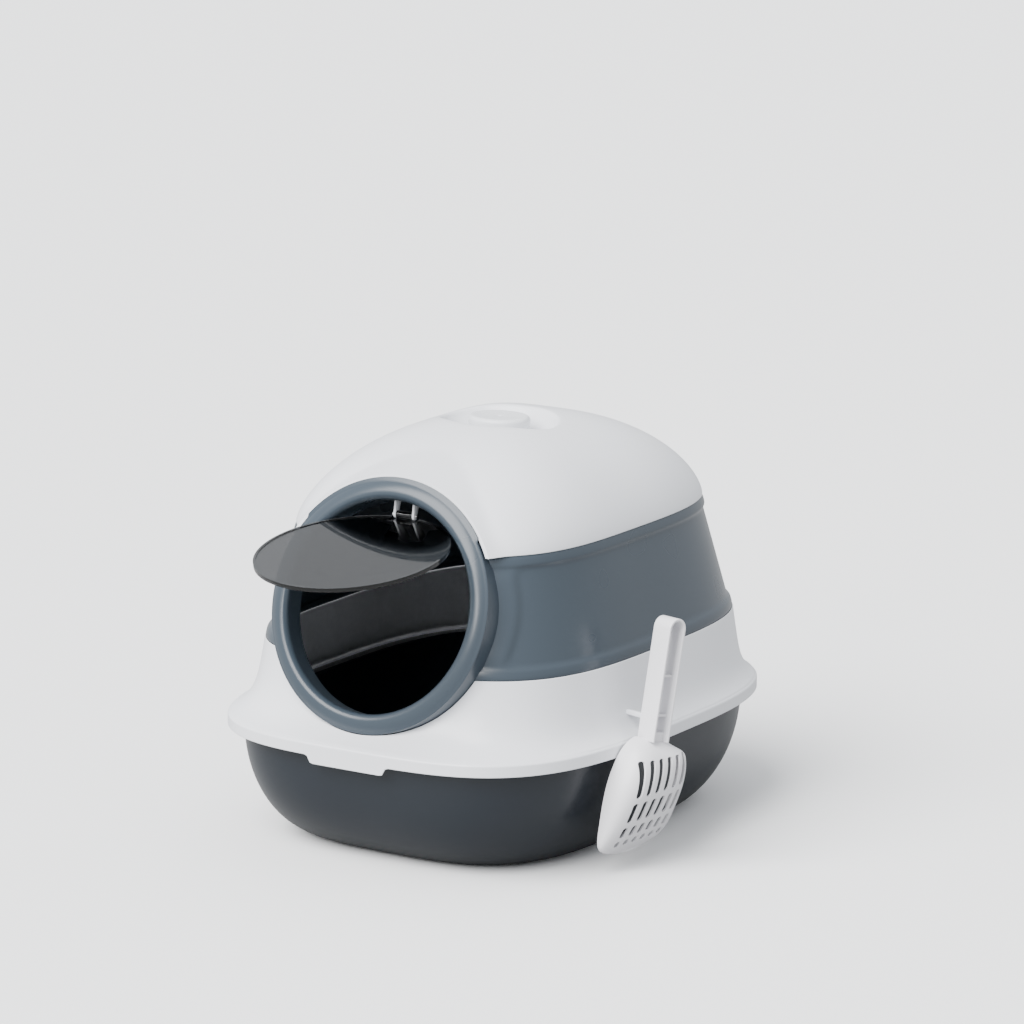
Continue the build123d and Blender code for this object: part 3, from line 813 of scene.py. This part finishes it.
# ---- Scoop
# One white moulding: an egg-shaped bowl with four rows of slots, on a handle that is a strap folded
# back on itself, with cross ribs in the fold. It hangs by a rib from the hood's peg.
BOWL_LENGTH = 0.1185
BOWL_HALF_WIDTH = 0.044
BOWL_DEPTH = 0.0335
BOWL_WIDEST = 0.625
BOWL_SQUARENESS = 0.625
BOWL_SKEW = 0.27
BOWL_SKEW_FROM = 0.025
BOWL_SKEW_OVER = 0.034
BOWL_WALL = 0.0020
STRAP_WIDTH = 0.022
STRAP_SPAN = 0.0214
STRAP_THICKNESS = 0.0024
HANDLE_LENGTH = 0.115
FOOT_TOP = 0.005
RIB_HEIGHTS = (0.020, 0.058)
RIB_WIDTH = 0.015
SLOT_PITCH = 0.0106
SLOT_WIDTH = 0.0058
SLOT_COLUMNS = 6
SLOT_ROWS = ((-0.021, -0.056), (-0.061, -0.081), (-0.086, -0.097), (-0.101, -0.107))
SCOOP_WHITE = (0.79, 0.78, 0.80)
scoop_place = Matrix(scoop_axes).transposed().to_4x4()
scoop_place = Matrix.Translation(SCOOP_JOINT) @ scoop_place


def scoop_point(right, up, out):
    """A place on the scoop: across it, up its handle, and out of its rounded back."""
    return tuple(scoop_place @ Vector((right, up, out)))


def bowl_size(drop):
    """Half width and depth of the bowl at a distance below the handle."""
    share = drop / BOWL_LENGTH
    if share < BOWL_WIDEST:
        width = BOWL_HALF_WIDTH * (1 - (2 * (BOWL_WIDEST - share)) ** 2.6 / 1.86) ** 0.5
    else:
        width = BOWL_HALF_WIDTH * (1 - ((share - BOWL_WIDEST) / (1 - BOWL_WIDEST)) ** 6) ** 0.5
    depth = BOWL_DEPTH * sin(pi * share**0.62) ** 0.8
    return width, depth


def sheet_of(name, rows):
    """An open sheet between rows of points."""
    count = len(rows[0])
    faces = []
    for row in range(len(rows) - 1):
        for i in range(count - 1):
            low, high = row * count + i, (row + 1) * count + i
            faces.append((low, low + 1, high + 1, high))
    mesh = bpy.data.meshes.new(name)
    mesh.from_pydata([point for row in rows for point in row], [], faces)
    piece = bpy.data.objects.new(name, mesh)
    bpy.context.collection.objects.link(piece)
    return piece


def slot_row_tree():
    """Nodes for one row of round-ended slots, as closed bars to be cut through the bowl."""
    tree = bpy.data.node_groups.new("slot_row", "GeometryNodeTree")
    face = tree.interface
    face.new_socket("Geometry", in_out="OUTPUT", socket_type="NodeSocketGeometry")
    for title, kind in (
        ("Columns", "NodeSocketInt"),
        ("Pitch", "NodeSocketFloat"),
        ("Width", "NodeSocketFloat"),
        ("Height", "NodeSocketFloat"),
        ("Middle", "NodeSocketFloat"),
        ("Reach", "NodeSocketFloat"),
        ("Material", "NodeSocketMaterial"),
    ):
        face.new_socket(title, in_out="INPUT", socket_type=kind)
    add = tree.nodes.new
    link = tree.links.new
    given = add("NodeGroupInput").outputs

    def worked(operation, first, second):
        node = add("ShaderNodeMath")
        node.operation = operation
        for socket, value in zip(node.inputs, (first, second)):
            if isinstance(value, (int, float)):
                socket.default_value = value
            else:
                link(value, socket)
        return node.outputs[0]

    def joined(x=None, y=None, z=None):
        node = add("ShaderNodeCombineXYZ")
        for socket, value in zip(node.inputs, (x, y, z)):
            if value is not None:
                link(value, socket)
        return node.outputs[0]

    oval = add("GeometryNodeCurvePrimitiveQuadrilateral")
    link(given["Width"], oval.inputs["Width"])
    link(given["Height"], oval.inputs["Height"])
    rounded = add("GeometryNodeFilletCurve")
    rounded.mode = "POLY"
    rounded.inputs["Count"].default_value = 7
    link(oval.outputs[0], rounded.inputs["Curve"])
    link(worked("MULTIPLY", given["Width"], 0.495), rounded.inputs["Radius"])
    path = add("GeometryNodeCurvePrimitiveLine")
    link(joined(z=given["Reach"]), path.inputs["End"])
    prism = add("GeometryNodeCurveToMesh")
    prism.inputs["Fill Caps"].default_value = True
    link(path.outputs[0], prism.inputs["Curve"])
    link(rounded.outputs[0], prism.inputs["Profile Curve"])
    row = add("GeometryNodeMeshLine")
    link(given["Columns"], row.inputs["Count"])
    spare = worked("SUBTRACT", given["Columns"], 1.0)
    first = worked("MULTIPLY", worked("MULTIPLY", spare, given["Pitch"]), -0.5)
    link(joined(first, given["Middle"]), row.inputs["Start Location"])
    link(joined(given["Pitch"]), row.inputs["Offset"])
    spread = add("GeometryNodeInstanceOnPoints")
    link(row.outputs[0], spread.inputs["Points"])
    link(prism.outputs[0], spread.inputs["Instance"])
    real = add("GeometryNodeRealizeInstances")
    link(spread.outputs[0], real.inputs[0])
    painted = add("GeometryNodeSetMaterial")
    link(real.outputs[0], painted.inputs["Geometry"])
    link(given["Material"], painted.inputs["Material"])
    link(painted.outputs[0], add("NodeGroupOutput").inputs[0])
    return tree


scoop_plastic = moulded_plastic("scoop_plastic", SCOOP_WHITE, 0.30, 0.42, grain=0.00002)
BOWL_ROWS = 64
BOWL_ACROSS = 72
rows = []
for step in range(BOWL_ROWS + 1):
    share = 0.5 - 0.5 * cos(pi * step / BOWL_ROWS)
    drop = 0.0016 + (BOWL_LENGTH - 0.0020) * share
    width, depth = bowl_size(drop)
    row = []
    for i in range(BOWL_ACROSS + 1):
        turn = pi * (1 - i / BOWL_ACROSS)
        right = width * abs(cos(turn)) ** BOWL_SQUARENESS * (1 if turn < pi / 2 else -1)
        out = max(depth, 0.002) * max(sin(turn), 0) ** BOWL_SQUARENESS
        row.append(scoop_point(right, -drop, out))
    rows.append(row)
scoop_bowl = sheet_of("litter_scoop", rows[::-1])
thicken(scoop_bowl, BOWL_WALL)
slots = slot_row_tree()
for top, bottom in SLOT_ROWS:
    cutter = bpy.data.objects.new("slot_cutter", bpy.data.meshes.new("slot_cutter"))
    bpy.context.collection.objects.link(cutter)
    nodes = cutter.modifiers.new("slot_row", "NODES")
    nodes.node_group = slots
    wanted = {
        "Columns": SLOT_COLUMNS,
        "Pitch": SLOT_PITCH,
        "Width": SLOT_WIDTH,
        "Height": top - bottom,
        "Middle": (top + bottom) / 2,
        "Reach": BOWL_DEPTH + 0.004,
        "Material": scoop_plastic,
    }
    for item in slots.interface.items_tree:
        if item.in_out == "INPUT":
            nodes[item.identifier] = wanted[item.name]
    settle(cutter)
    cutter.data.transform(scoop_place)
    outward(cutter)
    carve(scoop_bowl, cutter)
to_scoop = scoop_place.inverted()
for vertex in scoop_bowl.data.vertices:
    right, up, out = to_scoop @ vertex.co
    up += BOWL_SKEW * (right + BOWL_SKEW_FROM) * float(ease(-up / BOWL_SKEW_OVER))
    vertex.co = scoop_place @ Vector((right, up, out))

straight = HANDLE_LENGTH - STRAP_SPAN / 2
half_span = (STRAP_SPAN - STRAP_THICKNESS) / 2
fold = [(-half_span, height) for height in np.linspace(-0.004, straight, 12)]
for turn in range(8, 180, 8):
    around = radians(turn)
    fold.append((-half_span * cos(around), straight + half_span * sin(around)))
fold += [(half_span, height) for height in np.linspace(straight, -0.004, 12)]
strap_rows = []
for out in (0.0, 0.25, 0.5, 0.75, 1.0):
    strap_rows.append([scoop_point(right, up, STRAP_WIDTH * out) for right, up in fold])
strap = sheet_of("strap", strap_rows)
wall = strap.modifiers.new("wall", "SOLIDIFY")
wall.thickness = STRAP_THICKNESS
wall.offset = 0.0
soft = strap.modifiers.new("soft", "BEVEL")
soft.width = 0.0007
soft.segments = 3
soft.limit_method = "ANGLE"
soft.angle_limit = radians(50)
settle(strap)
outward(strap)
ribs = []
for height in RIB_HEIGHTS:
    centre = Vector(scoop_point(0, height + STRAP_THICKNESS / 2, RIB_WIDTH / 2 + 0.0005))
    size = (STRAP_SPAN - STRAP_THICKNESS, STRAP_THICKNESS, RIB_WIDTH)
    ribs.append(bar("rib", centre, scoop_axes, size, 0.0006))
foot_centre = Vector(scoop_point(0, (FOOT_TOP - 0.004) / 2, RIB_WIDTH / 2 + 0.0005))
foot_size = (STRAP_SPAN - STRAP_THICKNESS, FOOT_TOP + 0.004, RIB_WIDTH)
weld(scoop_bowl, strap, *ribs, bar("foot", foot_centre, scoop_axes, foot_size, 0.0008))
dress(scoop_bowl, scoop_plastic)
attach(scoop_bowl, "scoop")
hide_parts("scoop")
